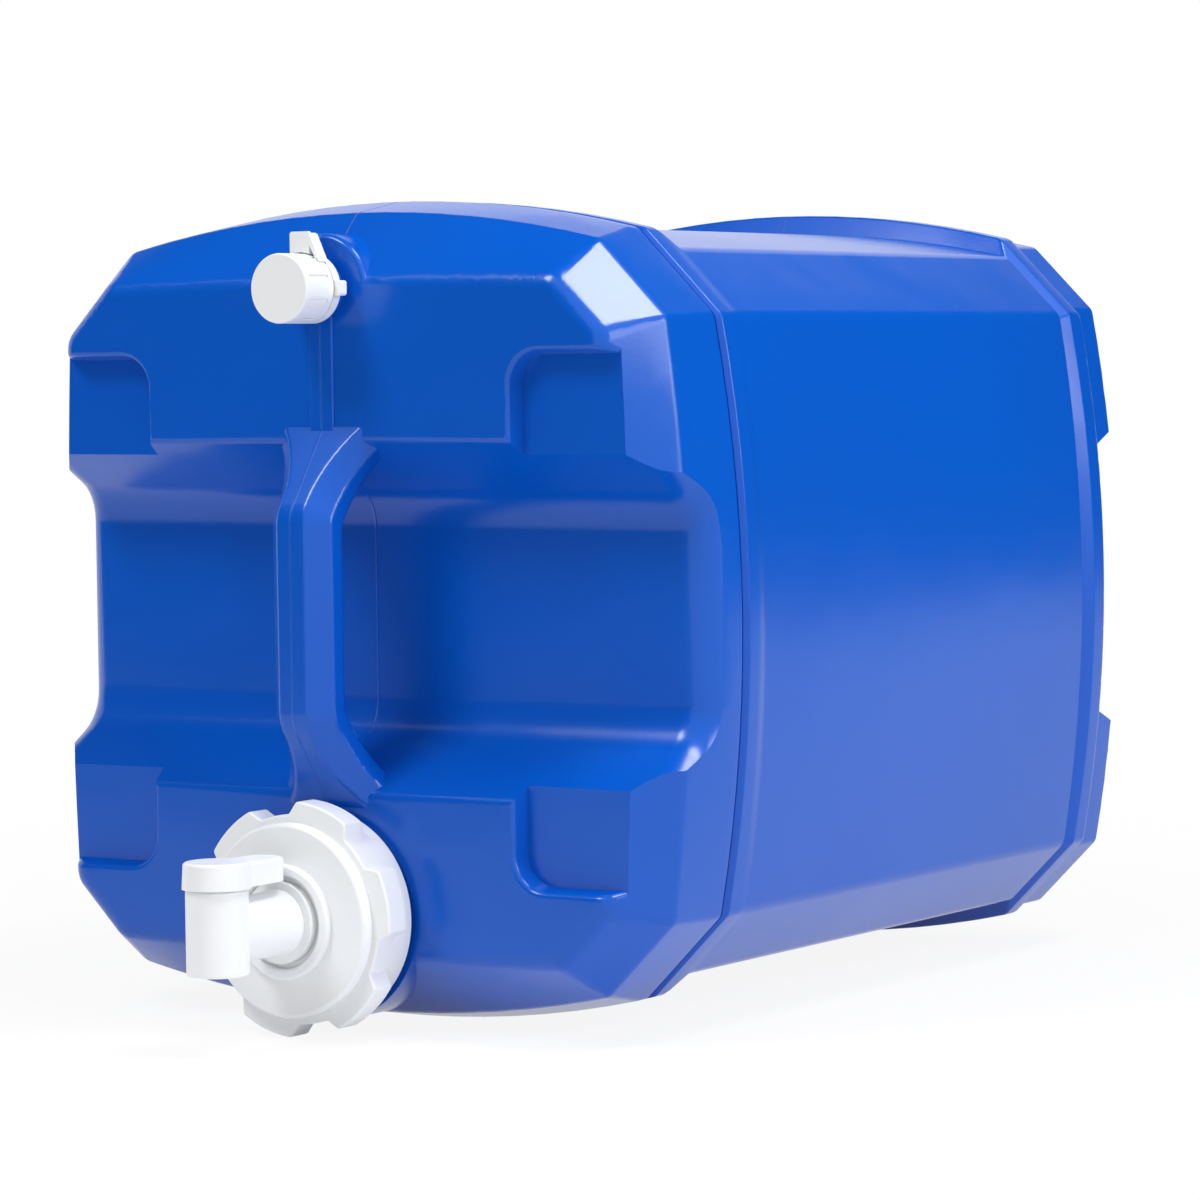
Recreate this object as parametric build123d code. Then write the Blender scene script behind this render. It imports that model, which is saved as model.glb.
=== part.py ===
from build123d import *
from math import atan2, cos, pi, radians, sin, sqrt, tan
import os

# Stackable blow moulded water container lying on its side, with a screwed main closure that
# carries a quarter turn tap, and a small screwed vent cap above it.
# Sizes are in millimetres. The model is laid out from the tapped face: X runs across that face,
# Y runs into the container with the flat of the face at 0, and Z runs up from its middle.

# Container, blow moulded shell
WALL = 2.1
PANEL_HALF_WIDTH = 126.3
HOOP_HALF_HEIGHT = 132.0
HOOP_CORNER = 30.0
DECK_SIDE_SETBACK = 12.8
DECK_TOP_SETBACK = 16.7
DECK_LESS_CORNER = 10.6
DECK_OUTLINE_RADIUS = 10.0
DECK_EDGE_RADIUS = 8.0
SHOULDER_DEPTH = 22.0
SHOULDER_RADIUS = 5.0
PANEL_TOP_SETBACK = 7.0
PANEL_LESS_CORNER = 6.7
PANEL_SIDE_BULGE = 8.8
PANEL_TOP_BULGE = 10.6
PANEL_EDGE_RADIUS = 8.0
HOOP_FRONT_TOP_SETBACK = 4.4
HOOP_FRONT_LESS_CORNER = 3.6
HOOP_FRONT_SIDE_BULGE = 7.0
HOOP_SIDE_BULGE = 9.9
HOOP_TOP_BULGE = 11.3
HOOP_EDGE_RADIUS = 4.5
HOOP_LAND = 6.0
HOOP_END = 52.0
HOOP_RIM_RADIUS = 1.0
GROOVE_WIDTH = 4.0
GROOVE_DEPTH = 2.2
BEAD_WIDTH = 6.0
BEAD_FALL = 7.0
REAR_GROOVE_FALL = 3.0
REAR_GROOVE_RISE = 5.5
REAR_GROOVE_DEPTH = 3.0
REAR_HOOP_WIDTH = 9.0
REAR_RIM_RADIUS = 1.5
BASE_DEPTH = 328.0
BASE_SHOULDER = 7.5
BASE_INSET = 7.0
BASE_LESS_CORNER = 3.0
BASE_LESS_BULGE = 3.0
BASE_EDGE_RADIUS = 4.0
FLOW_STEPS = 4

# Feet at the base's corners
FOOT_HEIGHT = 10.0
FOOT_SETBACK = 3.2
FOOT_LESS_CORNER = 5.2
FOOT_INNER_X = 76.0
FOOT_INNER_Z = 57.0
FOOT_SPREAD = 6.5
FOOT_ROOT_DEPTH = 6.0
FOOT_CORNER_RADIUS = 7.0
FOOT_RIM_RADIUS = 2.0

# Cross channel behind the handle
CHANNEL_HALF_HEIGHT = 60.3
CHANNEL_FOOT_HALF_HEIGHT = 38.5
CHANNEL_DEPTH_MIDDLE = 30.0
CHANNEL_DEPTH_SIDE = 33.4
CHANNEL_FLOOR_RADIUS = 18.0
CHANNEL_LIP_RADIUS = 3.5
CHANNEL_EXIT_RADIUS = 14.0
CHANNEL_EXIT_TURN = 72.0
CHANNEL_EXIT_STEPS = 5

# Handle, moulded across the channel
HANDLE_HALF_WIDTH = 12.6
HANDLE_FRONT = 19.8
HANDLE_THICKNESS = 15.5
HANDLE_STRAIGHT_HALF = 36.0
HANDLE_ROOT_HALF_WIDTH = 29.0
HANDLE_ROOT_OVERRUN = 5.0
HANDLE_ROOT_SINK = 8.0
HANDLE_BEND_RADIUS = 14.0
HANDLE_INNER_BEND_RADIUS = 8.0
HANDLE_BEVEL = 7.0
HANDLE_EDGE_RADIUS = 3.0
HANDLE_REAR_RADIUS = 4.0
SEAM_RIDGE_HALF_WIDTH = 5.0
SEAM_RIDGE_HEIGHT = 0.9
SEAM_RIDGE_RADIUS = 0.7

# Stacking notches in the tapped face
NOTCH_WIDTH = 35.4
NOTCH_HEIGHT = 28.9
NOTCH_DEPTH = 7.0
NOTCH_RADIUS = 10.5
NOTCH_DRAFT = 12.0
NOTCH_RIM_RADIUS = 2.0
NOTCH_CUT = 40.0

# Main neck and its closure
CLOSURE_EDGE_DISTANCE = 13.1
NECK_LIP = 21.8
NECK_BORE_RADIUS = 28.0
NECK_RADIUS = 31.0
NECK_BOSS_RADIUS = 37.0
BOSS_REACH = 24.0
GASKET_THICKNESS = 2.2
CAP_TOP_THICKNESS = 2.4
CAP_SEAT_CLEARANCE = 0.3
CAP_BORE_RADIUS = 34.0
CAP_STEP_THICKNESS = 2.2
CAP_SKIRT_RADIUS = 36.0
CAP_SKIRT_GAP = 2.6
CAP_FACE_RADIUS = 33.4
CAP_FACE_STEP = 4.8
CAP_FACE_EDGE_RADIUS = 1.6
LOBE_COUNT = 6
LOBE_RADIUS = 40.6
LOBE_DEPTH = 10.1
LOBE_FIRST_ANGLE = 12.0
LOBE_ROOT_HALF_ANGLE = 20.5
LOBE_TIP_HALF_ANGLE = 15.5
LOBE_CORNER_RADIUS = 1.6
LOBE_EDGE_RADIUS = 0.9
COLLAR_RADIUS = 19.8
COLLAR_WELL_RADIUS = 16.0
COLLAR_HEIGHT = 2.6
COLLAR_EDGE_RADIUS = 1.2

# Tap
SHANK_RADIUS = 10.5
SHANK_END = 12.0
TAP_BORE_RADIUS = 6.6
TAP_WASHER_THICKNESS = 1.2
TAP_FLANGE_RADIUS = 14.1
TAP_FLANGE_THICKNESS = 2.8
TAP_TUBE_RADIUS = 11.4
TAP_TUBE_END_RADIUS = 10.2
TAP_NUT_ACROSS_FLATS = 29.0
TAP_NUT_THICKNESS = 7.0
TAP_NUT_EDGE = 1.0
BARREL_REACH = 63.1
BARREL_RADIUS = 10.6
BARREL_BORE_RADIUS = 8.3
BARREL_TOP = 14.9
BARREL_BOTTOM = 13.9
BARREL_EDGE_RADIUS = 0.8
PLUG_OUTLET_RADIUS = 5.8
PLUG_PORT_RADIUS = 5.6
PLUG_CROWN = 8.0
KNOB_GAP = 0.3
KNOB_HEIGHT = 9.0
KNOB_RADIUS = 11.2
KNOB_RIM_RADIUS = 11.7
KNOB_EDGE_RADIUS = 1.2
LEVER_HALF_WIDTH = 7.6
LEVER_TIP_CLEARANCE = 2.4
LEVER_DROP = 0.8
LEVER_EDGE_RADIUS = 1.5

# Vent neck, cap and tear band
VENT_EDGE_DISTANCE = 2.7
VENT_BOSS_RADIUS = 18.9
VENT_BOSS_EDGE_RADIUS = 2.0
VENT_LIP = 21.0
VENT_BORE_RADIUS = 6.2
VENT_NECK_RADIUS = 8.2
VENT_COLLAR_RADIUS = 9.9
VENT_COLLAR_HEIGHT = 8.2
VENT_LINER_THICKNESS = 1.0
VENT_LINER_CLEARANCE = 0.3
VENT_TOP_THICKNESS = 1.8
VENT_CAP_RADIUS = 11.9
VENT_CAP_BORE_RADIUS = 9.3
VENT_CAP_LENGTH = 15.2
VENT_CAP_EDGE_RADIUS = 0.6
VENT_FLUTE_COUNT = 9
VENT_FLUTE_WIDTH = 1.0
VENT_FLUTE_DEPTH = 0.6
VENT_FLUTE_LENGTH = 10.5
VENT_FLUTE_START = 2.4
BAND_GAP = 0.4
BAND_WIDTH = 3.6
BAND_CLEARANCE = 0.2
BAND_RADIUS = 11.9
TAB_HALF_WIDTH = 4.1
TAB_REACH = 19.4
TAB_THICKNESS = 1.4
TAB_CORNER = 1.0
TAB_FORWARD = 3.5
STRAP_THICKNESS = 0.8
STRAP_ANGLE = 48.0
LUG_REACH = 2.5
LUG_HALF_WIDTH = 2.6

# Clearances between pieces
TURNING_FIT = 0.05

# Helpers: nearly nothing, a step past a face, a reach past the whole part, and the shares of a
# face's direction that count as facing that way or as leaning
SKIN = 0.02
PAST = 1.0
SLOPING = 0.7
SLIGHT = 0.2
FAR = 200.0

# Lengths and places that follow from the sizes above
CORNER_SHARE = 2 - sqrt(2)
DECK_HALF_WIDTH = PANEL_HALF_WIDTH - DECK_SIDE_SETBACK
DECK_HALF_HEIGHT = HOOP_HALF_HEIGHT - DECK_TOP_SETBACK
NOTCH_INNER = DECK_HALF_WIDTH - NOTCH_WIDTH
NOTCH_TOP = CHANNEL_HALF_HEIGHT + NOTCH_HEIGHT
CLOSURE_Z = CLOSURE_EDGE_DISTANCE - DECK_HALF_HEIGHT
VENT_Z = DECK_HALF_HEIGHT - VENT_EDGE_DISTANCE
GROOVE_MIDDLE = HOOP_END + GROOVE_WIDTH / 2
BEAD_START = HOOP_END + GROOVE_WIDTH
BEAD_END = BEAD_START + BEAD_WIDTH
PANEL_START = BEAD_END + BEAD_FALL
REAR_HOOP_END = BASE_DEPTH - BASE_SHOULDER
REAR_HOOP_START = REAR_HOOP_END - REAR_HOOP_WIDTH
REAR_GROOVE_FLOOR = REAR_HOOP_START - REAR_GROOVE_RISE
PANEL_END = REAR_GROOVE_FLOOR - REAR_GROOVE_FALL
GASKET_FRONT = -NECK_LIP - GASKET_THICKNESS
CAP_FACE = GASKET_FRONT - CAP_TOP_THICKNESS
LOBE_FRONT = CAP_FACE + CAP_FACE_STEP
COLLAR_FRONT = CAP_FACE - COLLAR_HEIGHT
FLANGE_REAR = CAP_FACE - TAP_WASHER_THICKNESS
FLANGE_FRONT = FLANGE_REAR - TAP_FLANGE_THICKNESS
BARREL_Y = -BARREL_REACH
KNOB_BOTTOM = CLOSURE_Z + BARREL_TOP + KNOB_GAP
KNOB_TOP = KNOB_BOTTOM + KNOB_HEIGHT
VENT_LINER_FRONT = -VENT_LIP - VENT_LINER_THICKNESS
VENT_CAP_FRONT = VENT_LINER_FRONT - VENT_TOP_THICKNESS
VENT_CAP_REAR = VENT_CAP_FRONT + VENT_CAP_LENGTH
BAND_FRONT = VENT_CAP_REAR + BAND_GAP

# The part stands on the lowest line of its hoops, with its origin under the middle of its outline
REST_HEIGHT = HOOP_HALF_HEIGHT + HOOP_TOP_BULGE
FRONT_MOST = BARREL_Y - KNOB_RIM_RADIUS
REAR_MOST = BASE_DEPTH + FOOT_HEIGHT
TO_ORIGIN = Location((0, -(FRONT_MOST + REAR_MOST) / 2, REST_HEIGHT))


def disc(radius, front, back, z=0.0):
    """A round solid along Y between two depths, on an axis at height z."""
    turned = Cylinder(radius, abs(back - front), rotation=(90, 0, 0))
    return Location((0, (front + back) / 2, z)) * turned


def pipe(outer_radius, inner_radius, front, back, z=0.0):
    """A ring along Y between two depths."""
    return disc(outer_radius, front, back, z) - disc(inner_radius, front - PAST, back + PAST, z)


def post(radius, y, low, high):
    """An upright round solid between two heights."""
    return Location((0, y, (low + high) / 2)) * Cylinder(radius, high - low)


def block(x_min, x_max, y_min, y_max, z_min, z_max):
    """A box given by its limits."""
    middle = Location(((x_min + x_max) / 2, (y_min + y_max) / 2, (z_min + z_max) / 2))
    return middle * Box(x_max - x_min, y_max - y_min, z_max - z_min)


def one_solid(shape):
    """The single solid that a boolean result holds."""
    found = shape.solids()
    assert len(found) == 1, f"{len(found)} solids where one was meant"
    return found[0]


def level_edges(solid, y):
    """The edges that lie in one plane square to Y."""
    return [e for e in solid.edges() if e.bounding_box().size.Y < SKIN and abs(e.center().Y - y) < SKIN]


def four_ways(shape):
    """A shape and its mirror images about the two middle planes."""
    right = [shape, mirror(shape, Plane.XY)]
    return right + [mirror(s, Plane.YZ) for s in right]


# Outlines across the container, each drawn in by the wall for the space inside

def outline(y, half_width, half_height, corner, side_bulge, top_bulge, edge_radius):
    """A closed line of four bulged walls joined by 45 degree corners."""
    w, h, c = half_width, half_height, corner
    right = [(w, c - h), (w, h - c), (w - c, h), (c - w, h)]
    starts = right + [(-x, -z) for x, z in right]
    bulges = [(w + side_bulge, 0), None, (0, h + top_bulge), None]
    bulges += [(-w - side_bulge, 0), None, (0, -h - top_bulge), None]
    edges = []
    for index, bulge in enumerate(bulges):
        start = Vector(starts[index][0], y, starts[index][1])
        end = Vector(starts[(index + 1) % 8][0], y, starts[(index + 1) % 8][1])
        if bulge is None or side_bulge == 0:
            edges.append(Edge.make_line(start, end))
        else:
            edges.append(Edge.make_three_point_arc(start, Vector(bulge[0], y, bulge[1]), end))
    closed = Wire(edges)
    return closed.fillet_2d(edge_radius, closed.vertices())


def deck_outline(inset):
    corner = HOOP_CORNER - DECK_LESS_CORNER
    return outline(inset, DECK_HALF_WIDTH - inset, DECK_HALF_HEIGHT - inset,
                   corner - inset * CORNER_SHARE, 0, 0, DECK_OUTLINE_RADIUS - inset)


def hoop_front_outline(inset):
    half_height = HOOP_HALF_HEIGHT - HOOP_FRONT_TOP_SETBACK
    corner = HOOP_CORNER - HOOP_FRONT_LESS_CORNER
    return outline(SHOULDER_DEPTH, PANEL_HALF_WIDTH - inset, half_height - inset,
                   corner - inset * CORNER_SHARE, HOOP_FRONT_SIDE_BULGE, HOOP_TOP_BULGE,
                   HOOP_EDGE_RADIUS - inset)


def side_outline(y, inset, share=0.0):
    """The hoop's outline for share 0, the panel's outline for share 1, and blends between them."""
    def mix(hoop, panel):
        return hoop + share * (panel - hoop)
    half_height = HOOP_HALF_HEIGHT - share * PANEL_TOP_SETBACK
    corner = HOOP_CORNER - share * PANEL_LESS_CORNER
    return outline(y, PANEL_HALF_WIDTH - inset, half_height - inset, corner - inset * CORNER_SHARE,
                   mix(HOOP_SIDE_BULGE, PANEL_SIDE_BULGE), mix(HOOP_TOP_BULGE, PANEL_TOP_BULGE),
                   mix(HOOP_EDGE_RADIUS, PANEL_EDGE_RADIUS) - inset)


def base_outline(inset):
    return outline(BASE_DEPTH - inset, PANEL_HALF_WIDTH - BASE_INSET - inset,
                   HOOP_HALF_HEIGHT - BASE_INSET - inset,
                   HOOP_CORNER - BASE_LESS_CORNER - inset * CORNER_SHARE,
                   HOOP_SIDE_BULGE - BASE_LESS_BULGE, HOOP_TOP_BULGE - BASE_LESS_BULGE,
                   HOOP_EDGE_RADIUS - inset)


def foot_outline(y, inset):
    """The outline that the four feet keep to, a little inside the hoop's."""
    drawn_in = FOOT_SETBACK + inset
    return outline(y, PANEL_HALF_WIDTH - drawn_in, HOOP_HALF_HEIGHT - drawn_in,
                   HOOP_CORNER - FOOT_LESS_CORNER - inset * CORNER_SHARE,
                   HOOP_SIDE_BULGE, HOOP_TOP_BULGE, HOOP_EDGE_RADIUS - inset)


# The blow moulded form, made once for the outside and once for the space inside the wall

def closed_form(inset):
    """Deck, shoulder, hoops, groove, bead, panel and base, as one closed solid."""
    front = Solid.make_loft([deck_outline(inset), hoop_front_outline(inset),
                             side_outline(HOOP_END - HOOP_LAND, inset),
                             side_outline(HOOP_END, inset)], True)
    groove = Solid.make_loft([side_outline(HOOP_END, inset),
                              side_outline(GROOVE_MIDDLE, inset + GROOVE_DEPTH),
                              side_outline(BEAD_START, inset)], True)
    bead = Solid.make_loft([side_outline(BEAD_START, inset), side_outline(BEAD_END, inset)], True)
    fall = []
    for step in range(FLOW_STEPS + 1):
        along = step / FLOW_STEPS
        fall.append(side_outline(BEAD_END + BEAD_FALL * along, inset, (1 - cos(pi * along)) / 2))
    panel = Solid.make_loft([side_outline(PANEL_START, inset, 1),
                             side_outline(PANEL_END, inset, 1)], True)
    rear = Solid.make_loft([side_outline(PANEL_END, inset, 1),
                            side_outline(REAR_GROOVE_FLOOR, inset + REAR_GROOVE_DEPTH, 1),
                            side_outline(REAR_HOOP_START, inset), side_outline(REAR_HOOP_END, inset),
                            base_outline(inset)], True)
    if inset == 0:
        front = front.fillet(DECK_EDGE_RADIUS, level_edges(front, 0))
        front = front.fillet(SHOULDER_RADIUS, level_edges(front, SHOULDER_DEPTH))
        front = front.fillet(HOOP_RIM_RADIUS, level_edges(front, HOOP_END))
        bead = bead.fillet(HOOP_RIM_RADIUS, level_edges(bead, BEAD_START))
        rear = rear.fillet(REAR_RIM_RADIUS, level_edges(rear, REAR_HOOP_START))
        rear = rear.fillet(BASE_EDGE_RADIUS, level_edges(rear, REAR_HOOP_END))
        rear = rear.fillet(BASE_EDGE_RADIUS, level_edges(rear, BASE_DEPTH))
    return front + groove + bead + Solid.make_loft(fall, True) + panel + rear


def channel_outline(x, inset, flare):
    """The channel's section at one place across the container; its floor falls away to the sides."""
    fall = (CHANNEL_DEPTH_SIDE - CHANNEL_DEPTH_MIDDLE) * abs(x) / PANEL_HALF_WIDTH
    depth = CHANNEL_DEPTH_MIDDLE + fall
    slope = (CHANNEL_HALF_HEIGHT - CHANNEL_FOOT_HALF_HEIGHT) / depth
    top = CHANNEL_HALF_HEIGHT + (inset + flare) * sqrt(1 + slope ** 2)
    rim = inset - SKIN
    floor = depth + inset + flare
    half = [(-FAR, FAR), (rim, FAR), (rim, top - slope * rim), (floor, top - slope * floor)]
    points = half + [(y, -z) for y, z in reversed(half)]
    section = Wire.make_polygon([Vector(x, y, z) for y, z in points], close=True)
    floor_corners = [v for v in section.vertices() if v.Y > (rim + floor) / 2]
    section = section.fillet_2d(CHANNEL_FLOOR_RADIUS + inset, floor_corners)
    lip_corners = [v for v in section.vertices() if abs(v.Y - rim) < SKIN / 2 and abs(v.Z) < FAR - PAST]
    return section.fillet_2d(CHANNEL_LIP_RADIUS - inset, lip_corners)


def channel_cutter(inset):
    """The channel, which opens out in a round where it leaves through the container's sides."""
    side = PANEL_HALF_WIDTH + HOOP_SIDE_BULGE
    start = side - CHANNEL_EXIT_RADIUS * sin(radians(CHANNEL_EXIT_TURN))
    places = []
    for step in range(CHANNEL_EXIT_STEPS + 1):
        turned = radians(CHANNEL_EXIT_TURN) * step / CHANNEL_EXIT_STEPS
        flare = CHANNEL_EXIT_RADIUS * (1 - cos(turned))
        places.append((start + CHANNEL_EXIT_RADIUS * sin(turned), flare))
    places.append((side + CHANNEL_EXIT_RADIUS / 2, 2 * flare))
    left = [channel_outline(-x, inset, flare) for x, flare in reversed(places)]
    right = [channel_outline(x, inset, flare) for x, flare in places]
    return Solid.make_loft(left + [channel_outline(0, inset, 0)] + right, True)


def notch_cutter(inset):
    """The space of one stacking notch, open to the channel and to the container's side."""
    floor = Plane(origin=(0, NOTCH_DEPTH + inset, 0), x_dir=(1, 0, 0), z_dir=(0, -1, 0))
    inner = NOTCH_INNER - inset
    top = NOTCH_TOP + inset
    shape = (floor * Polygon((inner, 0), (FAR, 0), (FAR, top), (inner, top), align=None)).face()
    corner = [v for v in shape.vertices() if v.X < FAR - PAST and v.Z > top - SKIN]
    shape = shape.fillet_2d(NOTCH_RADIUS + inset, corner)
    return extrude(shape, amount=NOTCH_CUT, taper=-NOTCH_DRAFT)


def foot(inset):
    """One hollow foot in a corner of the base, from its root to its flat."""
    root, flat = BASE_DEPTH - FOOT_ROOT_DEPTH, BASE_DEPTH + FOOT_HEIGHT - inset
    form = Solid.make_loft([foot_outline(root, inset), foot_outline(flat, inset)], True)
    rings = []
    for y, spread in ((root, FOOT_SPREAD), (flat, 0)):
        x_min, z_min = FOOT_INNER_X - spread + inset, FOOT_INNER_Z - spread + inset
        points = [(x_min, z_min), (FAR, z_min), (FAR, FAR), (x_min, FAR)]
        ring = Wire.make_polygon([Vector(x, y, z) for x, z in points], close=True)
        inner_corner = [v for v in ring.vertices() if v.X < FAR - PAST and v.Z < FAR - PAST]
        rings.append(ring.fillet_2d(FOOT_CORNER_RADIUS + inset, inner_corner))
    solid = one_solid(form & Solid.make_loft(rings, True))
    if inset == 0:
        solid = solid.fillet(FOOT_RIM_RADIUS, level_edges(solid, flat))
    return solid


def handle(inset):
    """The carrying handle, or the space inside it: its side view crossed with its front view."""
    reach = CHANNEL_HALF_HEIGHT + HANDLE_ROOT_OVERRUN
    lean = atan2(HANDLE_FRONT, reach - HANDLE_STRAIGHT_HALF)
    rear = HANDLE_THICKNESS - HANDLE_FRONT
    rear_bend = HANDLE_STRAIGHT_HALF - HANDLE_THICKNESS * tan(lean / 2)
    end = (HANDLE_ROOT_SINK, reach + HANDLE_ROOT_SINK / tan(lean))
    rear_end = (end[0] + HANDLE_THICKNESS * cos(lean), end[1] - HANDLE_THICKNESS * sin(lean))
    half = [(-HANDLE_FRONT, HANDLE_STRAIGHT_HALF), end, rear_end, (rear, rear_bend)]
    side = (Plane.YZ * Polygon(*half, *[(y, -z) for y, z in reversed(half)], align=None)).face()
    front_bends = [v for v in side.vertices() if abs(v.Y + HANDLE_FRONT) < SKIN]
    side = side.fillet_2d(HANDLE_BEND_RADIUS, front_bends)
    rear_bends = [v for v in side.vertices() if abs(v.Y - rear) < SKIN]
    side = side.fillet_2d(HANDLE_INNER_BEND_RADIUS, rear_bends)
    width, root = HANDLE_HALF_WIDTH - inset, HANDLE_ROOT_HALF_WIDTH - inset
    quarter = Line((width, 0), (width, HANDLE_STRAIGHT_HALF))
    quarter += TangentArc((width, HANDLE_STRAIGHT_HALF), (root, reach), tangent=(0, 1))
    quarter += Polyline((root, reach), (root, FAR), (0, FAR))
    upper = quarter + mirror(quarter, Plane.YZ)
    view = Plane.XZ * make_face(upper + mirror(upper, Plane.XZ))
    if inset > 0:
        side = offset(side, -inset, kind=Kind.INTERSECTION).face()
    bar = one_solid(extrude(side, FAR, both=True) & extrude(view, FAR, both=True))
    bar = bar.chamfer(HANDLE_BEVEL - inset * CORNER_SHARE, None, long_edges(bar, -1))
    bar = bar.fillet(HANDLE_REAR_RADIUS - inset, long_edges(bar, 1))
    if inset == 0:
        bar = bar.fillet(HANDLE_EDGE_RADIUS, bevel_edges(bar))
    return bar


def long_edges(bar, facing):
    """The long side edges of the handle's front, for facing -1, or of its rear, for facing 1."""
    faces = [f for f in bar.faces() if f.normal_at().Y * facing > SLOPING and abs(f.normal_at().X) < SKIN]
    return [e for f in faces for e in f.edges() if abs(e.center().X) > PAST]


def bevel_edges(bar):
    """The long edges that bound the bevels on the handle's front, without their joints."""
    bevels = [f for f in bar.faces() if abs(f.normal_at().X) > SLIGHT and f.normal_at().Y < -SLIGHT]
    found = {}
    for edge in [e for f in bevels for e in f.edges()]:
        middle = edge.center()
        found.setdefault((round(middle.X, 3), round(middle.Y, 3), round(middle.Z, 3)), []).append(edge)
    ends = max(abs(v.Z) for v in bar.vertices()) - PAST
    return [same[0] for same in found.values() if len(same) == 1 and abs(same[0].center().Z) < ends]


def seam_ridge():
    """The low moulding ridge between the handle's root and the vent's boss."""
    low = CHANNEL_HALF_HEIGHT + HANDLE_ROOT_OVERRUN / 2
    high = VENT_Z - VENT_BOSS_RADIUS / 2
    ridge = block(-SEAM_RIDGE_HALF_WIDTH, SEAM_RIDGE_HALF_WIDTH, -SEAM_RIDGE_HEIGHT, WALL / 2, low, high)
    long_front = [e for e in ridge.edges() if e.length > (high - low) / 2 and e.center().Y < 0]
    return ridge.fillet(SEAM_RIDGE_RADIUS, long_front)


def container_body():
    outside = closed_form(0) - channel_cutter(0)
    inside = closed_form(WALL) - channel_cutter(WALL)
    for notch in four_ways(notch_cutter(0)):
        outside -= notch
    for notch in four_ways(notch_cutter(WALL)):
        inside -= notch
    rims = [e for e in outside.edges() if abs(e.center().Y) < SKIN
            and abs(e.center().X) > NOTCH_INNER - NOTCH_DEPTH
            and CHANNEL_HALF_HEIGHT < abs(e.center().Z) < NOTCH_TOP + NOTCH_DEPTH]
    outside = outside.fillet(NOTCH_RIM_RADIUS, rims)
    vent_boss = disc(VENT_BOSS_RADIUS, 0, BOSS_REACH, VENT_Z)
    vent_boss = vent_boss.fillet(VENT_BOSS_EDGE_RADIUS, level_edges(vent_boss, 0))
    outside += vent_boss
    outside += disc(NECK_BOSS_RADIUS, 0, BOSS_REACH, CLOSURE_Z)
    outside += handle(0)
    outside += seam_ridge()
    outside += disc(NECK_RADIUS, -NECK_LIP, WALL, CLOSURE_Z)
    outside += disc(VENT_NECK_RADIUS, -VENT_LIP, WALL, VENT_Z)
    outside += disc(VENT_COLLAR_RADIUS, -VENT_COLLAR_HEIGHT, WALL, VENT_Z)
    for standing in four_ways(foot(0)):
        outside += standing
    inside += disc(VENT_BOSS_RADIUS - WALL, WALL, BOSS_REACH + WALL, VENT_Z)
    inside += disc(NECK_BOSS_RADIUS - WALL, WALL, BOSS_REACH + WALL, CLOSURE_Z)
    inside += handle(WALL)
    inside += disc(NECK_BORE_RADIUS, -NECK_LIP - PAST, BOSS_REACH, CLOSURE_Z)
    inside += disc(VENT_BORE_RADIUS, -VENT_LIP - PAST, BOSS_REACH, VENT_Z)
    for standing in four_ways(foot(WALL)):
        inside += standing
    return one_solid(outside - inside)


# Main closure

def lobe_plan(z):
    """The closure's outline seen from the front: a round with lobes for the fingers."""
    def spot(radius, angle):
        return Vector(radius * cos(radians(angle)), LOBE_FRONT, z + radius * sin(radians(angle)))
    edges = []
    step = 360 / LOBE_COUNT
    for index in range(LOBE_COUNT):
        middle = LOBE_FIRST_ANGLE + index * step
        root_start = spot(CAP_SKIRT_RADIUS, middle - LOBE_ROOT_HALF_ANGLE)
        tip_start = spot(LOBE_RADIUS, middle - LOBE_TIP_HALF_ANGLE)
        tip_end = spot(LOBE_RADIUS, middle + LOBE_TIP_HALF_ANGLE)
        root_end = spot(CAP_SKIRT_RADIUS, middle + LOBE_ROOT_HALF_ANGLE)
        next_start = spot(CAP_SKIRT_RADIUS, middle + step - LOBE_ROOT_HALF_ANGLE)
        edges.append(Edge.make_line(root_start, tip_start))
        edges.append(Edge.make_three_point_arc(tip_start, spot(LOBE_RADIUS, middle), tip_end))
        edges.append(Edge.make_line(tip_end, root_end))
        between = spot(CAP_SKIRT_RADIUS, middle + step / 2)
        edges.append(Edge.make_three_point_arc(root_end, between, next_start))
    plan = Face(Wire(edges))
    return plan.fillet_2d(LOBE_CORNER_RADIUS, plan.vertices())


def main_cap():
    grip = extrude(lobe_plan(CLOSURE_Z), LOBE_DEPTH, dir=(0, 1, 0))
    rims = level_edges(grip, LOBE_FRONT) + level_edges(grip, LOBE_FRONT + LOBE_DEPTH)
    grip = grip.fillet(LOBE_EDGE_RADIUS, rims)
    cap = grip + disc(CAP_SKIRT_RADIUS, LOBE_FRONT + LOBE_EDGE_RADIUS, -CAP_SKIRT_GAP, CLOSURE_Z)
    face = disc(CAP_FACE_RADIUS, CAP_FACE, LOBE_FRONT + CAP_STEP_THICKNESS, CLOSURE_Z)
    cap += face.fillet(CAP_FACE_EDGE_RADIUS, level_edges(face, CAP_FACE))
    collar = pipe(COLLAR_RADIUS, COLLAR_WELL_RADIUS, COLLAR_FRONT, CAP_FACE + SKIN, CLOSURE_Z)
    cap += collar.fillet(COLLAR_EDGE_RADIUS, level_edges(collar, COLLAR_FRONT))
    cap -= disc(SHANK_RADIUS + TURNING_FIT, COLLAR_FRONT - PAST, GASKET_FRONT + PAST, CLOSURE_Z)
    cap -= disc(NECK_RADIUS + CAP_SEAT_CLEARANCE, GASKET_FRONT, 0, CLOSURE_Z)
    cap -= disc(CAP_BORE_RADIUS, LOBE_FRONT + CAP_STEP_THICKNESS, 0, CLOSURE_Z)
    return one_solid(cap)


def main_cap_gasket():
    return one_solid(pipe(NECK_RADIUS, NECK_BORE_RADIUS, GASKET_FRONT, -NECK_LIP, CLOSURE_Z))


# Tap

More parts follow.
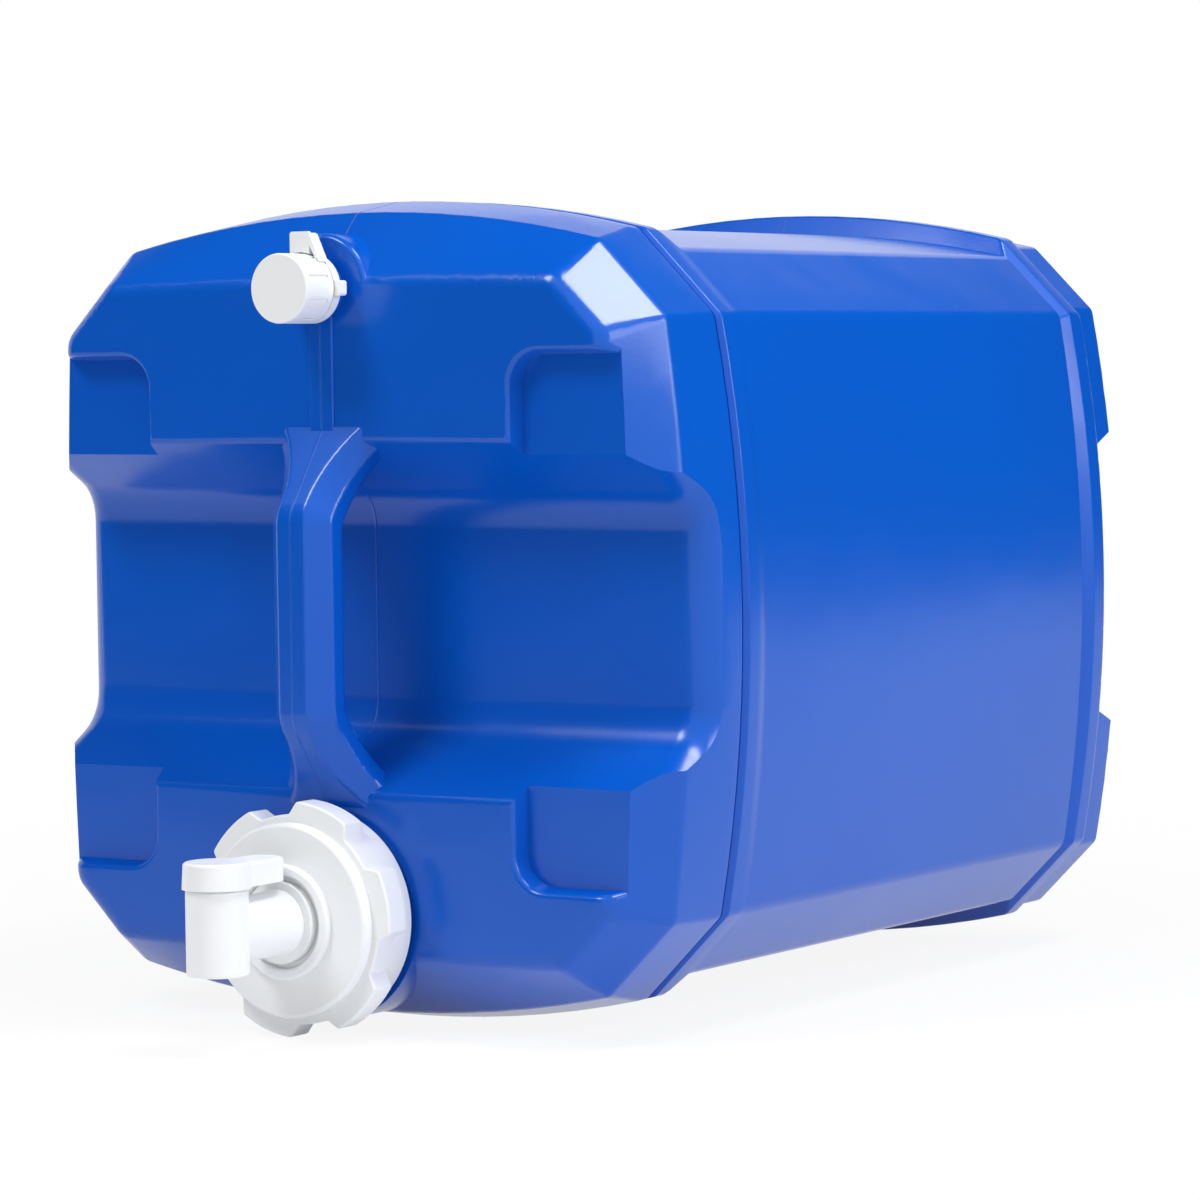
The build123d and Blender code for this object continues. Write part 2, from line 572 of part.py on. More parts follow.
def tap_body():
    tap = disc(TAP_FLANGE_RADIUS, FLANGE_FRONT, FLANGE_REAR, CLOSURE_Z)
    tap += disc(SHANK_RADIUS, FLANGE_FRONT, -SHANK_END, CLOSURE_Z)
    tube_length = FLANGE_FRONT - BARREL_Y
    tube = Cone(TAP_TUBE_RADIUS, TAP_TUBE_END_RADIUS, tube_length, rotation=(90, 0, 0))
    tap += Location((0, BARREL_Y + tube_length / 2, CLOSURE_Z)) * tube
    barrel = post(BARREL_RADIUS, BARREL_Y, CLOSURE_Z - BARREL_BOTTOM, CLOSURE_Z + BARREL_TOP)
    rims = [e for e in barrel.edges() if e.bounding_box().size.Z < SKIN]
    tap += barrel.fillet(BARREL_EDGE_RADIUS, rims)
    tap -= post(BARREL_BORE_RADIUS, BARREL_Y, CLOSURE_Z - BARREL_BOTTOM - PAST,
                CLOSURE_Z + BARREL_TOP + PAST)
    tap -= disc(TAP_BORE_RADIUS, BARREL_Y, -SHANK_END + PAST, CLOSURE_Z)
    return one_solid(tap)


def tap_washer():
    return one_solid(pipe(TAP_FLANGE_RADIUS, SHANK_RADIUS, FLANGE_REAR, CAP_FACE, CLOSURE_Z))


def tap_nut():
    """The hexagon nut behind the closure, with its outer corners turned off."""
    front = GASKET_FRONT
    hexagon = Plane(origin=(0, front, CLOSURE_Z), x_dir=(1, 0, 0), z_dir=(0, 1, 0)) * RegularPolygon(
        TAP_NUT_ACROSS_FLATS / 2, 6, major_radius=False)
    nut = extrude(hexagon, TAP_NUT_THICKNESS)
    corner_radius = TAP_NUT_ACROSS_FLATS / sqrt(3)
    turned = disc(corner_radius, front, front + TAP_NUT_THICKNESS, CLOSURE_Z)
    turned = turned.chamfer(TAP_NUT_EDGE, None, level_edges(turned, front + TAP_NUT_THICKNESS))
    hole = disc(SHANK_RADIUS, front - PAST, front + TAP_NUT_THICKNESS + PAST, CLOSURE_Z)
    return one_solid((nut & turned) - hole)


def tap_plug():
    """The turning plug with its outlet, side port, knob and lever arm."""
    rotor_radius = BARREL_BORE_RADIUS - TURNING_FIT
    bottom = CLOSURE_Z - BARREL_BOTTOM
    plug = post(rotor_radius, BARREL_Y, bottom, KNOB_BOTTOM)
    knob_middle = Location((0, BARREL_Y, (KNOB_BOTTOM + KNOB_TOP) / 2))
    knob = knob_middle * Cone(KNOB_RIM_RADIUS, KNOB_RADIUS, KNOB_HEIGHT)
    tip = COLLAR_FRONT - LEVER_TIP_CLEARANCE
    lever_top = KNOB_TOP - LEVER_DROP
    arm = block(-LEVER_HALF_WIDTH, LEVER_HALF_WIDTH, BARREL_Y, tip - LEVER_HALF_WIDTH,
                KNOB_BOTTOM, lever_top)
    arm += post(LEVER_HALF_WIDTH, tip - LEVER_HALF_WIDTH, KNOB_BOTTOM, lever_top)
    arm_top = [e for f in arm.faces() if f.center().Z > lever_top - SKIN for e in f.edges()
               if e.center().Y > BARREL_Y + SKIN]
    arm = arm.fillet(LEVER_EDGE_RADIUS, arm_top)
    knob_top = [e for e in knob.edges() if abs(e.center().Z - KNOB_TOP) < SKIN]
    plug += knob.fillet(KNOB_EDGE_RADIUS, knob_top)
    plug += arm
    plug -= post(PLUG_OUTLET_RADIUS, BARREL_Y, bottom - PAST, CLOSURE_Z + PLUG_CROWN)
    port_length = rotor_radius + 2 * PAST
    port = Location((port_length / 2, BARREL_Y, CLOSURE_Z)) * Cylinder(
        PLUG_PORT_RADIUS, port_length, rotation=(0, 90, 0))
    return one_solid(plug - port)


# Vent cap and tear band

def vent_cap():
    cap = disc(VENT_CAP_RADIUS, VENT_CAP_FRONT, VENT_CAP_REAR, VENT_Z)
    cap = cap.fillet(VENT_CAP_EDGE_RADIUS, level_edges(cap, VENT_CAP_FRONT))
    cap -= disc(VENT_CAP_BORE_RADIUS, VENT_LINER_FRONT, VENT_CAP_REAR + PAST, VENT_Z)
    start = VENT_CAP_FRONT + VENT_FLUTE_START
    groove = block(VENT_CAP_RADIUS - VENT_FLUTE_DEPTH, VENT_CAP_RADIUS + PAST,
                   start, start + VENT_FLUTE_LENGTH, -VENT_FLUTE_WIDTH / 2, VENT_FLUTE_WIDTH / 2)
    for index in range(VENT_FLUTE_COUNT):
        turn = Rotation(0, 360 / VENT_FLUTE_COUNT * (index + 0.5), 0)
        cap -= Location((0, 0, VENT_Z)) * turn * groove
    return one_solid(cap)


def vent_cap_liner():
    return one_solid(disc(VENT_CAP_BORE_RADIUS - VENT_LINER_CLEARANCE, VENT_LINER_FRONT, -VENT_LIP, VENT_Z))


def vent_tamper_band():
    """The tear band behind the vent cap, with its pull tab, the strap beside the tab and a lug."""
    rear = BAND_FRONT + BAND_WIDTH
    over_cap = VENT_CAP_RADIUS + BAND_GAP
    tab_front = BAND_FRONT - TAB_FORWARD
    tab_top = VENT_Z + TAB_REACH
    tab = block(-TAB_HALF_WIDTH, TAB_HALF_WIDTH, tab_front, tab_front + TAB_THICKNESS,
                VENT_Z + over_cap, tab_top)
    tab = tab.fillet(TAB_CORNER, [e for e in tab.edges() if e.center().Z > tab_top - SKIN
                                  and abs(e.center().X) > TAB_HALF_WIDTH / 2])
    tab += block(-TAB_HALF_WIDTH, TAB_HALF_WIDTH, tab_front, rear,
                 VENT_Z, VENT_Z + over_cap + TAB_THICKNESS)
    foot_x = BAND_RADIUS * sin(radians(STRAP_ANGLE))
    foot_z = VENT_Z + BAND_RADIUS * cos(radians(STRAP_ANGLE))
    strap_side = [(TAB_HALF_WIDTH - STRAP_THICKNESS, tab_top - TAB_CORNER / 2),
                  (TAB_HALF_WIDTH, tab_top - TAB_CORNER),
                  (foot_x, foot_z), (foot_x - STRAP_THICKNESS, foot_z - STRAP_THICKNESS),
                  (TAB_HALF_WIDTH - STRAP_THICKNESS, tab_top - 3 * TAB_CORNER)]
    facing_front = Plane(origin=(0, tab_front, 0), x_dir=(1, 0, 0), z_dir=(0, -1, 0))
    strap = (facing_front * Polygon(*strap_side, align=None)).face()
    tab += extrude(strap, TAB_FORWARD + TAB_THICKNESS, dir=(0, 1, 0))
    tab -= disc(over_cap, VENT_CAP_FRONT, BAND_FRONT, VENT_Z)
    lug = block(0, BAND_RADIUS + LUG_REACH, BAND_FRONT, rear, -LUG_HALF_WIDTH, LUG_HALF_WIDTH)
    lug = lug.fillet(TAB_CORNER, [e for e in lug.edges() if e.center().X > BAND_RADIUS
                                  and e.bounding_box().size.Y > BAND_WIDTH / 2])
    band = disc(BAND_RADIUS, BAND_FRONT, rear, VENT_Z) + tab + Location((0, 0, VENT_Z)) * lug
    hole = disc(VENT_COLLAR_RADIUS + BAND_CLEARANCE, BAND_FRONT - PAST, rear + PAST, VENT_Z)
    return one_solid(band - hole)


PIECES = {
    "container_body": container_body,
    "main_cap": main_cap,
    "main_cap_gasket": main_cap_gasket,
    "tap_body": tap_body,
    "tap_washer": tap_washer,
    "tap_nut": tap_nut,
    "tap_plug": tap_plug,
    "vent_cap": vent_cap,
    "vent_cap_liner": vent_cap_liner,
    "vent_tamper_band": vent_tamper_band,
}

os.makedirs("parts", exist_ok=True)
for name, make in PIECES.items():
    export_step(TO_ORIGIN * make(), f"parts/{name}.step")
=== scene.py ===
# %% [markdown]
# # A water container with a tap
# The container is blown from cobalt blue polyethylene; its closure, tap and vent cap are moulded
# in white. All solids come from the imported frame, in metres, and stay where they are. This script
# gives them smooth normals, screw threads and finishes, and sets up a plain studio round them.

# %% Load the frame
from math import cos, radians, sin

import bmesh
import bpy
import numpy as np
from mathutils import Matrix, Vector


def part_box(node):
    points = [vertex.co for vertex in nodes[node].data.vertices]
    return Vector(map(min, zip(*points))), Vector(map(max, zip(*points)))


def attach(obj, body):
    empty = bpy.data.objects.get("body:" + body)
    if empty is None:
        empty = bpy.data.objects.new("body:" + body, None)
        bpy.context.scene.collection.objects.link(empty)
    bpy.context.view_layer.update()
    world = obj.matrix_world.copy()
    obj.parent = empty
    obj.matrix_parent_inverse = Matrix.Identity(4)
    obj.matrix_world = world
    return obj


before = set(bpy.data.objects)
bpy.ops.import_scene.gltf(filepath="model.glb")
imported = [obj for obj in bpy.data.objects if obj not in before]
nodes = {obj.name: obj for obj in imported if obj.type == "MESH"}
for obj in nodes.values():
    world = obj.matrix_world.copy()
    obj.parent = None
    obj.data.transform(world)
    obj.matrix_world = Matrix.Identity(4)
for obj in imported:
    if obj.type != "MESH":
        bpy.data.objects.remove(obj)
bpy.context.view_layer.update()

MM = 0.001

# %% [markdown]
# ## The camera
# A long lens stands low and to the right of the tap, so that the tapped face and the right side
# both show. Its place and heading were worked out from the container's own edges: a heading
# turned left from +Y, a slight tilt down, and a little roll.

# %% Camera
CAMERA_PLACE = Vector((0.9229, -1.3655, 0.2311))
HEADING = 0.581
TILT = -0.054
ROLL = -0.013
LENS_MM = 134.45
SENSOR_MM = 36.0


def aim_camera():
    ahead = Vector((-sin(HEADING) * cos(TILT), cos(HEADING) * cos(TILT), sin(TILT)))
    level = ahead.cross(Vector((0, 0, 1))).normalized()
    above = level.cross(ahead)
    right = cos(ROLL) * level + sin(ROLL) * above
    up = cos(ROLL) * above - sin(ROLL) * level
    data = bpy.data.cameras.new("photo_camera")
    data.lens = LENS_MM
    data.sensor_width = SENSOR_MM
    data.clip_start = 0.05
    data.clip_end = 50
    camera = bpy.data.objects.new("photo_camera", data)
    turn = Matrix((right, up, -ahead)).transposed().to_4x4()
    camera.matrix_world = Matrix.Translation(CAMERA_PLACE) @ turn
    bpy.context.scene.collection.objects.link(camera)
    bpy.context.scene.camera = camera
    print("camera at", tuple(round(c, 3) for c in CAMERA_PLACE))


aim_camera()

# %% [markdown]
# ## Shader maths as plain expressions
# A finish is worked out from numbers that change over a surface. Wired by hand, each sum and
# product is a node. The small class below wraps a socket, so that `1 - mask * 0.5` writes those
# nodes itself. Every other node comes from one method, `add`.

# %% A socket that can be added and multiplied


class Value:
    """The number that leaves a socket, with the usual operators."""

    def __init__(self, tree, socket):
        self.tree = tree
        self.socket = socket

    def math(self, operation, *others):
        node = self.tree.nodes.new("ShaderNodeMath")
        node.operation = operation
        for index, item in enumerate((self, *others)):
            if isinstance(item, Value):
                self.tree.links.new(item.socket, node.inputs[index])
            else:
                node.inputs[index].default_value = item
        return Value(self.tree, node.outputs[0])

    def __add__(self, other):
        return self.math("ADD", other)

    __radd__ = __add__

    def __mul__(self, other):
        return self.math("MULTIPLY", other)

    __rmul__ = __mul__

    def __sub__(self, other):
        return self.math("SUBTRACT", other)

    def __rsub__(self, other):
        return (self * -1) + other

    def __truediv__(self, other):
        return self.math("DIVIDE", other)

    def absolute(self):
        return self.math("ABSOLUTE")

    def clamped(self):
        return self.math("MAXIMUM", 0.0).math("MINIMUM", 1.0)


# %% A node tree with short calls


class Graph:
    """A node tree that adds a node, sets it up and feeds its inputs in one call.

    An underscore in the name of an input stands for a space.
    """

    def __init__(self, tree):
        self.tree = tree

    def add(self, kind, settings=None, **inputs):
        node = self.tree.nodes.new(kind)
        for key, value in (settings or {}).items():
            setattr(node, key, value)
        for key, value in inputs.items():
            self.feed(node.inputs[key.replace("_", " ")], value)
        return node

    def feed(self, socket, value):
        if isinstance(value, Value):
            self.tree.links.new(value.socket, socket)
        elif isinstance(value, bpy.types.NodeSocket):
            self.tree.links.new(value, socket)
        else:
            socket.default_value = value

    def value(self, socket):
        return Value(self.tree, socket)


# %% A material that writes its own nodes


class Finish(Graph):
    """A material with one Principled shader and short calls for the nodes before it."""

    def __init__(self, name):
        self.material = bpy.data.materials.new(name)
        self.material.use_nodes = True
        super().__init__(self.material.node_tree)
        self.shader = self.tree.nodes["Principled BSDF"]
        self.place = self.add("ShaderNodeTexCoord").outputs["Object"]

    def noise(self, size_m, detail=2.0):
        """Noise with features of about the given size, from 0 to 1."""
        noise = self.add("ShaderNodeTexNoise", Vector=self.place, Scale=1 / size_m, Detail=detail)
        return self.value(noise.outputs["Fac"])

    def axis(self, name):
        split = self.add("ShaderNodeSeparateXYZ", Vector=self.place)
        return self.value(split.outputs[name])

    def mix(self, factor, first, second):
        node = self.add("ShaderNodeMix", {"data_type": "RGBA"})
        self.feed(node.inputs[0], factor)
        self.feed(node.inputs[6], first)
        self.feed(node.inputs[7], second)
        return node.outputs[2]

    def bump(self, height, depth_m, strength=1.0, after=None):
        node = self.add("ShaderNodeBump", Strength=strength, Distance=depth_m, Height=height)
        if after is not None:
            self.feed(node.inputs["Normal"], after)
        return node.outputs["Normal"]

    def set(self, **inputs):
        for key, value in inputs.items():
            self.feed(self.shader.inputs[key.replace("_", " ")], value)


def dress(node_name, finish):
    piece = nodes[node_name]
    piece.data.materials.clear()
    piece.data.materials.append(finish.material)


# %% [markdown]
# ## Smooth normals on the solids
# The solids arrive as loose flat triangles. Where two faces meet at a shallow angle they are one
# curved surface on the real moulding, so each corner takes the average of the faces round it, and
# keeps a crease only where the angle is large. Only normals change: no corner moves.

# %% Corner normals from the faces that share a point
CREASE = radians(26)
WELD = 2e-6


def smooth_solid(piece):
    mesh = piece.data
    count = len(mesh.loops)
    points = np.zeros(len(mesh.vertices) * 3)
    mesh.vertices.foreach_get("co", points)
    points = points.reshape(-1, 3)
    corner_vertex = np.zeros(count, int)
    mesh.loops.foreach_get("vertex_index", corner_vertex)
    face_normal = np.zeros(len(mesh.polygons) * 3)
    mesh.polygons.foreach_get("normal", face_normal)
    face_normal = face_normal.reshape(-1, 3)
    area = np.zeros(len(mesh.polygons))
    mesh.polygons.foreach_get("area", area)
    corner_face = np.repeat(np.arange(len(mesh.polygons)), 3)
    keys = np.round(points[corner_vertex] / WELD).astype(np.int64)
    order = np.lexsort(keys.T)
    new_group = np.any(np.diff(keys[order], axis=0), axis=1)
    starts = np.concatenate(([0], np.nonzero(new_group)[0] + 1, [count]))
    normals = np.zeros((count, 3))
    for first, last in zip(starts[:-1], starts[1:]):
        corners = order[first:last]
        faces = corner_face[corners]
        near = face_normal[faces] @ face_normal[faces].T > cos(CREASE)
        total = (near * area[faces]) @ face_normal[faces]
        normals[corners] = total / np.linalg.norm(total, axis=1, keepdims=True)
    mesh.polygons.foreach_set("use_smooth", np.ones(len(mesh.polygons), bool))
    mesh.normals_split_custom_set(normals)


for node_name, piece in nodes.items():
    smooth_solid(piece)
    print(node_name, len(piece.data.polygons), "triangles")

# %% [markdown]
# ## The blue polyethylene
# Blown polyethylene is evenly coloured through, with a satin shine. Close to, it has the faint
# waviness of the blown wall, a fine grain from the mould, and a thin parting line where the two
# mould halves met, here in the plane X = 0.

# %% Blue finish
BLUE = (0.0, 0.100, 0.56, 1)
BLUE_DEEP = (0.0, 0.078, 0.48, 1)
CLOUD_SIZE = 160 * MM
SWELL_SIZE = 35 * MM
SWELL_DEPTH = 0.9 * MM
GRAIN_SIZE = 1.1 * MM
GRAIN_DEPTH = 0.04 * MM
PARTING_LINE_HALF = 0.5 * MM
PARTING_LINE_HEIGHT = 0.25 * MM


def blue_polyethylene():
    blue = Finish("blue_polyethylene")
    cloud = blue.noise(CLOUD_SIZE)
    across = blue.axis("X").absolute()
    seam = (1 - across / PARTING_LINE_HALF).clamped()
    colour = blue.mix(cloud * 0.9, BLUE, BLUE_DEEP)
    swell = blue.bump(blue.noise(SWELL_SIZE, 1.0), SWELL_DEPTH, 0.35)
    texture = blue.bump(blue.noise(GRAIN_SIZE), GRAIN_DEPTH, 0.5, swell)
    normal = blue.bump(seam, PARTING_LINE_HEIGHT, 0.8, texture)
    blue.set(Base_Color=colour, Roughness=0.17 + 0.10 * cloud, Normal=normal, IOR=1.5,
             Specular_IOR_Level=0.42)
    return blue


blue = blue_polyethylene()
dress("container_body", blue)

# %% [markdown]
# ## The white mouldings
# The closure, tap and vent cap are a dense white plastic, a little bluish in the shade, smooth
# but not glassy.

# %% White finish
WHITE = (0.88, 0.89, 0.90, 1)
WHITE_SHADE = (0.85, 0.865, 0.88, 1)
WHITE_CLOUD_SIZE = 20 * MM
WHITE_GRAIN_SIZE = 0.6 * MM
WHITE_GRAIN_DEPTH = 0.02 * MM


def white_moulding(name, roughness):
    white = Finish(name)
    cloud = white.noise(WHITE_CLOUD_SIZE)
    grain = white.noise(WHITE_GRAIN_SIZE)
    colour = white.mix(cloud, WHITE, WHITE_SHADE)
    white.set(Base_Color=colour, Roughness=roughness + 0.08 * cloud, IOR=1.5,
              Normal=white.bump(grain, WHITE_GRAIN_DEPTH, 0.5))
    return white


closure_white = white_moulding("closure_white", 0.30)
for part in ("main_cap", "tap_body", "tap_nut", "tap_plug"):
    dress(part, closure_white)
vent_white = white_moulding("vent_white", 0.34)
for part in ("vent_cap", "vent_tamper_band"):
    dress(part, vent_white)

# %% Seals
SEAL_GREY = (0.62, 0.62, 0.60, 1)
SEAL_LIGHT = (0.74, 0.73, 0.70, 1)
SEAL_CLOUD_SIZE = 4 * MM
SEAL_GRAIN_DEPTH = 0.1 * MM


def soft_seal():
    seal = Finish("soft_seal")
    cloud = seal.noise(SEAL_CLOUD_SIZE)
    colour = seal.mix(cloud, SEAL_GREY, SEAL_LIGHT)
    seal.set(Base_Color=colour, Roughness=0.6 + 0.2 * cloud,
             Normal=seal.bump(cloud, SEAL_GRAIN_DEPTH, 0.4))
    return seal


seal_finish = soft_seal()
for part in ("main_cap_gasket", "tap_washer", "vent_cap_liner"):
    dress(part, seal_finish)

# %% [markdown]
# ## Screw threads
# Both closures screw on. A thread is one ridge that follows a helix, so it is made by a small
# node tree: a spiral curve, a ridge profile swept along it, and a scale that runs out to nothing
# at both ends, as a moulded thread does. The neck's ridge and the cap's ridge share one pitch
# and lie half a turn of it apart, so they pass each other when the cap turns.

# %% A node tree that sweeps one thread


class Shape(Graph):
    """A Geometry Nodes tree with one mesh output and named inputs."""

    def __init__(self, name):
        super().__init__(bpy.data.node_groups.new(name, "GeometryNodeTree"))
        self.tree.interface.new_socket("Geometry", in_out="OUTPUT", socket_type="NodeSocketGeometry")
        self.inputs = {}

    def ask(self, name, kind="NodeSocketFloat"):
        item = self.tree.interface.new_socket(name, in_out="INPUT", socket_type=kind)
        self.inputs[name] = item.identifier


THREAD_STEPS = 48
RUN_OUT = 0.08
END_SCALE = 0.02


def thread_shape():
    tree = Shape("screw_thread")
    for name in ("Radius", "Pitch", "Turns", "Base", "Crest", "Depth"):
        tree.ask(name)
    tree.ask("Finish", "NodeSocketMaterial")
    given = tree.add("NodeGroupInput").outputs
    radius, pitch, turns = [tree.value(given[name]) for name in ("Radius", "Pitch", "Turns")]
    base, crest, depth = [tree.value(given[name]) for name in ("Base", "Crest", "Depth")]
    spiral = tree.add("GeometryNodeCurveSpiral", Resolution=THREAD_STEPS, Rotations=turns,
                      Start_Radius=radius, End_Radius=radius, Height=pitch * turns, Reverse=True)
    upright = tree.add("GeometryNodeSetCurveNormal", {"mode": "Z_UP"}, Curve=spiral.outputs[0])
    profile = ((base * -0.5, 0.0), (crest * -0.5, depth), (crest * 0.5, depth), (base * 0.5, 0.0))
    corners = []
    for across, out in profile:
        corners.append(tree.add("ShaderNodeCombineXYZ", X=out, Y=across, Z=0.0).outputs[0])
    ridge = tree.add("GeometryNodeCurvePrimitiveQuadrilateral", {"mode": "POINTS"})
    for index, corner in enumerate(corners):
        tree.feed(ridge.inputs[f"Point {index + 1}"], corner)
    along = tree.value(tree.add("GeometryNodeSplineParameter").outputs["Factor"])
    rise = (along / RUN_OUT).clamped() * ((1 - along) / RUN_OUT).clamped()
    swept = tree.add("GeometryNodeCurveToMesh", Curve=upright.outputs[0], Profile_Curve=ridge.outputs[0],
                     Scale=rise + END_SCALE, Fill_Caps=True)
    real = tree.add("GeometryNodeRealizeInstances", Geometry=swept.outputs[0])
    coated = tree.add("GeometryNodeSetMaterial", Geometry=real.outputs[0], Material=given["Finish"])
    tree.add("NodeGroupOutput", Geometry=coated.outputs[0])
    return tree


SCREW = thread_shape()


def screw_thread(name, finish, base_point, body, slot, **sizes):
    """A thread along -Y from a point on its axis, as a plain mesh at the origin."""
    data = bpy.data.meshes.new(name)
    piece = bpy.data.objects.new(name, data)
    bpy.context.scene.collection.objects.link(piece)
    modifier = piece.modifiers.new("thread", "NODES")
    modifier.node_group = SCREW.tree
    for key, value in sizes.items():
        modifier[SCREW.inputs[key]] = value
    modifier[SCREW.inputs["Finish"]] = finish
    depsgraph = bpy.context.evaluated_depsgraph_get()
    made = bpy.data.meshes.new_from_object(piece.evaluated_get(depsgraph))
    piece.modifiers.clear()
    piece.data = made
    made.name = name
    along_neck = Matrix.Rotation(radians(90), 4, "X")
    made.transform(Matrix.Translation(base_point) @ along_neck)
    shell = bmesh.new()
    shell.from_mesh(made)
    bmesh.ops.recalc_face_normals(shell, faces=shell.faces)
    shell.to_mesh(made)
    shell.free()
    made.materials.clear()
    made.materials.append(finish)
    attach(piece, body)
    print(name, len(made.polygons), "faces")


# %% The four threads
SINK = 0.1 * MM
NECK_THREAD_START = 17.0 * MM
NECK_PITCH = 6.0 * MM
CAP_BORE_RADIUS = 34.0 * MM
VENT_THREAD_START = 11.0 * MM
VENT_PITCH = 4.0 * MM
VENT_NECK_RADIUS = 8.2 * MM
VENT_CAP_BORE_RADIUS = 9.3 * MM


def neck_axis(seal, start):
    """The point on a neck's axis at a depth behind its lip, and the radius of the seal on the lip."""
    low, high = [Vector(corner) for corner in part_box(seal)]
    middle = (low + high) / 2
    return Vector((middle.x, high.y + start, middle.z)), (high.x - low.x) / 2


neck_start, neck_radius = neck_axis("main_cap_gasket", NECK_THREAD_START)
screw_thread("neck_thread", blue.material, neck_start, "container", "blue_polyethylene",
             Radius=neck_radius - SINK, Pitch=NECK_PITCH, Turns=2.0, Base=3.4 * MM, Crest=1.4 * MM,
             Depth=2.2 * MM)
half_pitch_back = Vector((0, NECK_PITCH / 2, 0))
screw_thread("closure_thread", closure_white.material, neck_start + half_pitch_back, "closure",
             "white_plastic", Radius=CAP_BORE_RADIUS + SINK, Pitch=NECK_PITCH, Turns=2.2,
             Base=2.2 * MM, Crest=1.0 * MM, Depth=-2.2 * MM)
vent_start, vent_seal_radius = neck_axis("vent_cap_liner", VENT_THREAD_START)
screw_thread("vent_neck_thread", blue.material, vent_start, "container", "blue_polyethylene",
             Radius=VENT_NECK_RADIUS - SINK, Pitch=VENT_PITCH, Turns=2.0, Base=1.6 * MM,
             Crest=0.7 * MM, Depth=0.9 * MM)
half_pitch_back = Vector((0, VENT_PITCH / 2, 0))
screw_thread("vent_cap_thread", vent_white.material, vent_start + half_pitch_back, "vent_closure",
             "white_plastic", Radius=VENT_CAP_BORE_RADIUS + SINK, Pitch=VENT_PITCH, Turns=2.2,
             Base=1.4 * MM, Crest=0.6 * MM, Depth=-0.9 * MM)

# %% [markdown]
# ## The studio
# The product stands on white with no edge to the floor. The floor is white paper that shows a
# share of its own shading near the container, so that a faint shadow is left, and none of it far
# off. Three soft lamps light the container, from above, from the front and from the right.

# %% Floor and backdrop
FLOOR_SIZE = 60.0
FLOOR_WHITE = (0.9, 0.9, 0.9, 1)
FLOOR_GLOW = 0.90
SHADOW_REACH = 0.25
SHADOW_FADE = 0.5


def seen_directly(graph):
    """1 where the camera, a reflection or a clear view sees a surface, and 0 for its light."""
    path = graph.add("ShaderNodeLightPath")
    camera, glossy, clear = [
        graph.value(path.outputs[f"Is {kind} Ray"]) for kind in ("Camera", "Glossy", "Transmission")
    ]
    return (camera + glossy + clear).clamped()


def stage_sheet(name, across, along, colour):
    """A flat rectangle for the studio, with a matt material, and that material's node tree."""
    data = bpy.data.meshes.new(name)
    ends = (-0.5, -0.5), (0.5, -0.5), (0.5, 0.5), (-0.5, 0.5)
    data.from_pydata([(x * across, y * along, 0) for x, y in ends], [], [(0, 1, 2, 3)])
    sheet = bpy.data.objects.new(name, data)
    bpy.context.scene.collection.objects.link(sheet)
    material = bpy.data.materials.new(name)
    material.use_nodes = True
    shader = material.node_tree.nodes["Principled BSDF"]
    shader.inputs["Base Color"].default_value = colour
    shader.inputs["Roughness"].default_value = 0.9
    shader.inputs["Specular IOR Level"].default_value = 0.0
    data.materials.append(material)
    return sheet, material.node_tree


def white_floor():
    graph = Graph(stage_sheet("floor", FLOOR_SIZE, FLOOR_SIZE, FLOOR_WHITE)[1])
    paper = graph.tree.nodes["Principled BSDF"]
    place = graph.add("ShaderNodeTexCoord").outputs["Object"]
    reach = graph.add("ShaderNodeVectorMath", {"operation": "LENGTH"})
    graph.feed(reach.inputs[0], place)
    far = ((graph.value(reach.outputs["Value"]) - SHADOW_REACH) / SHADOW_FADE).clamped()
    share = seen_directly(graph) * (FLOOR_GLOW + (1 - FLOOR_GLOW) * far)
    blend = graph.add("ShaderNodeMixShader", Fac=share)
    graph.feed(blend.inputs[1], paper.outputs[0])
    graph.feed(blend.inputs[2], graph.add("ShaderNodeEmission").outputs[0])
    graph.feed(graph.tree.nodes["Material Output"].inputs["Surface"], blend.outputs[0])


white_floor()

# %% World
WORLD_LIGHT = 0.34


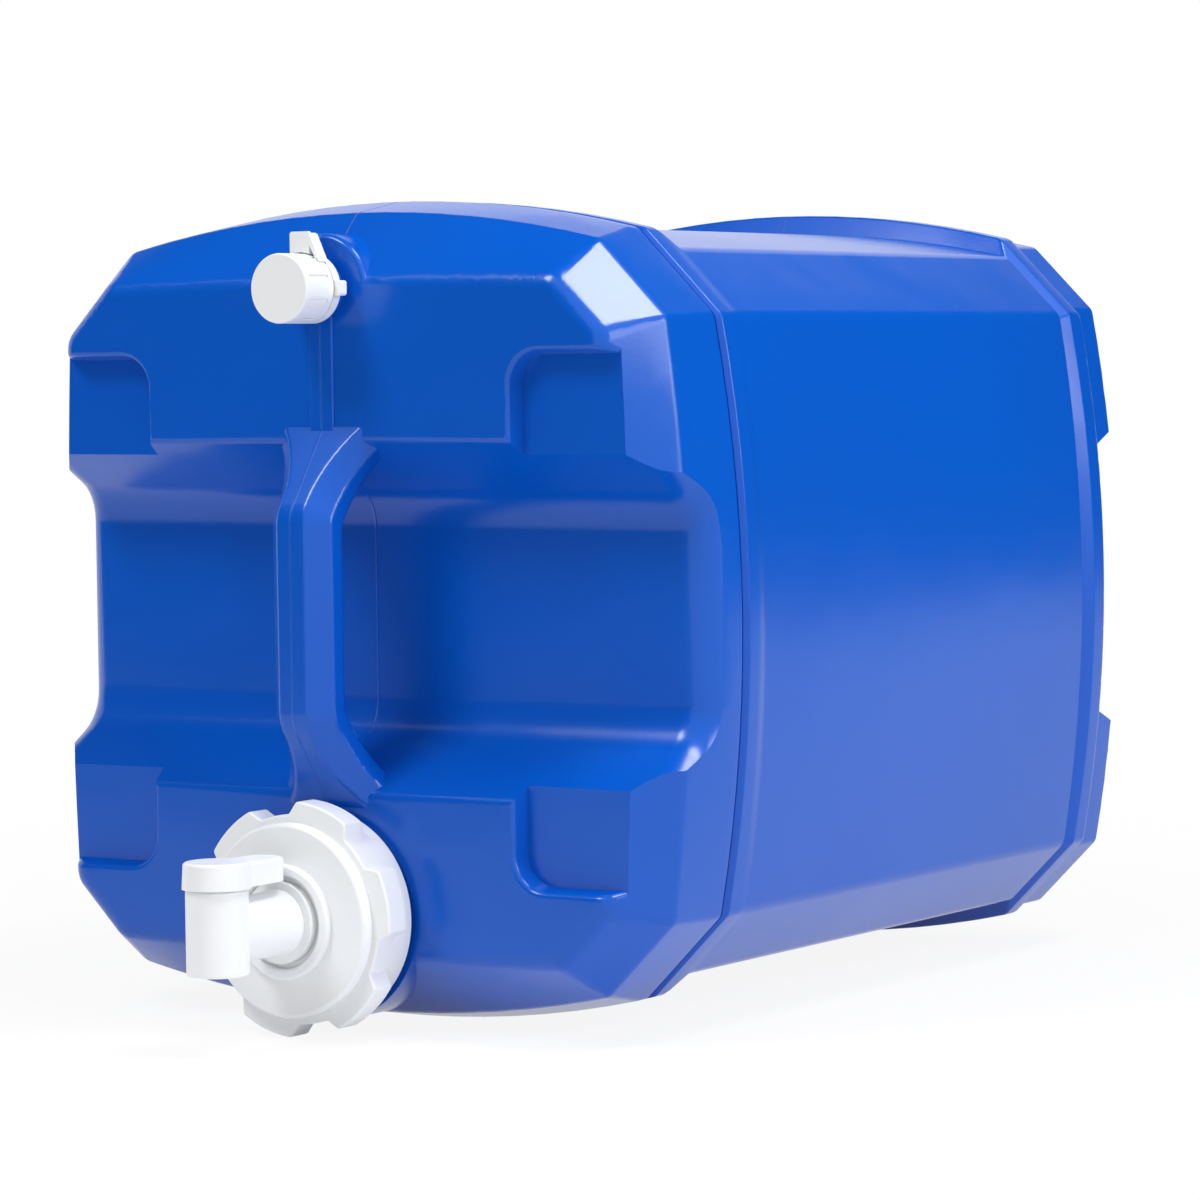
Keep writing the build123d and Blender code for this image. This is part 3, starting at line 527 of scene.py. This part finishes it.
def white_world():
    world = bpy.data.worlds.new("studio")
    bpy.context.scene.world = world
    world.use_nodes = True
    graph = Graph(world.node_tree)
    background = graph.tree.nodes["Background"]
    background.inputs["Color"].default_value = (1, 1, 1, 1)
    strength = seen_directly(graph) * (1.0 - WORLD_LIGHT) + WORLD_LIGHT
    graph.feed(background.inputs["Strength"], strength)


white_world()

# %% Lamps


def soft_lamp(name, place, target, size, power):
    data = bpy.data.lights.new(name, "AREA")
    data.shape = "RECTANGLE"
    data.size, data.size_y = size
    data.energy = power
    lamp = bpy.data.objects.new(name, data)
    lamp.location = place
    lamp.rotation_mode = "QUATERNION"
    lamp.rotation_quaternion = (Vector(target) - Vector(place)).to_track_quat("-Z", "Y")
    bpy.context.scene.collection.objects.link(lamp)
    print("lamp", name, power, "W")


MIDDLE = (0, 0, 0.14)
soft_lamp("overhead", (0.62, -0.05, 1.45), (0.05, -0.1, 0.2), (0.50, 0.40), 12.0)
soft_lamp("front", (-0.45, -1.05, 1.60), MIDDLE, (0.5, 0.5), 14.0)
soft_lamp("right", (1.7, -0.1, 0.8), MIDDLE, (0.6, 0.8), 11.0)

# %% [markdown]
# ## Dark cards
# A studio keeps a saturated colour by what the gloss reflects. Three dark cards stand outside the
# view and only reflections see them. The tapped face mirrors the one in front, the upper part of
# the side mirrors the one behind, and rounded top edges mirror the one above. What tilts between
# them mirrors the white floor or a lamp, and shines.

# %% Dark cards
CARD_GREY = (0.02, 0.02, 0.02, 1)


def dark_card(name, place, across, along, turn):
    card = stage_sheet(name, across, along, CARD_GREY)[0]
    card.location = place
    card.rotation_euler = [radians(angle) for angle in turn]
    card.visible_camera = False
    card.visible_diffuse = False
    card.visible_shadow = False


dark_card("card_behind", (1.25, 1.75, 1.12), 3.4, 2.2, (90, 0, -38))
dark_card("card_in_front", (-0.62, -0.95, 0.62), 2.0, 1.26, (90, 0, -38))
dark_card("card_above", (-1.2, 0.9, 2.1), 3.6, 3.6, (0, 0, 0))

# %% Finish
bpy.context.scene.view_settings.view_transform = "Standard"
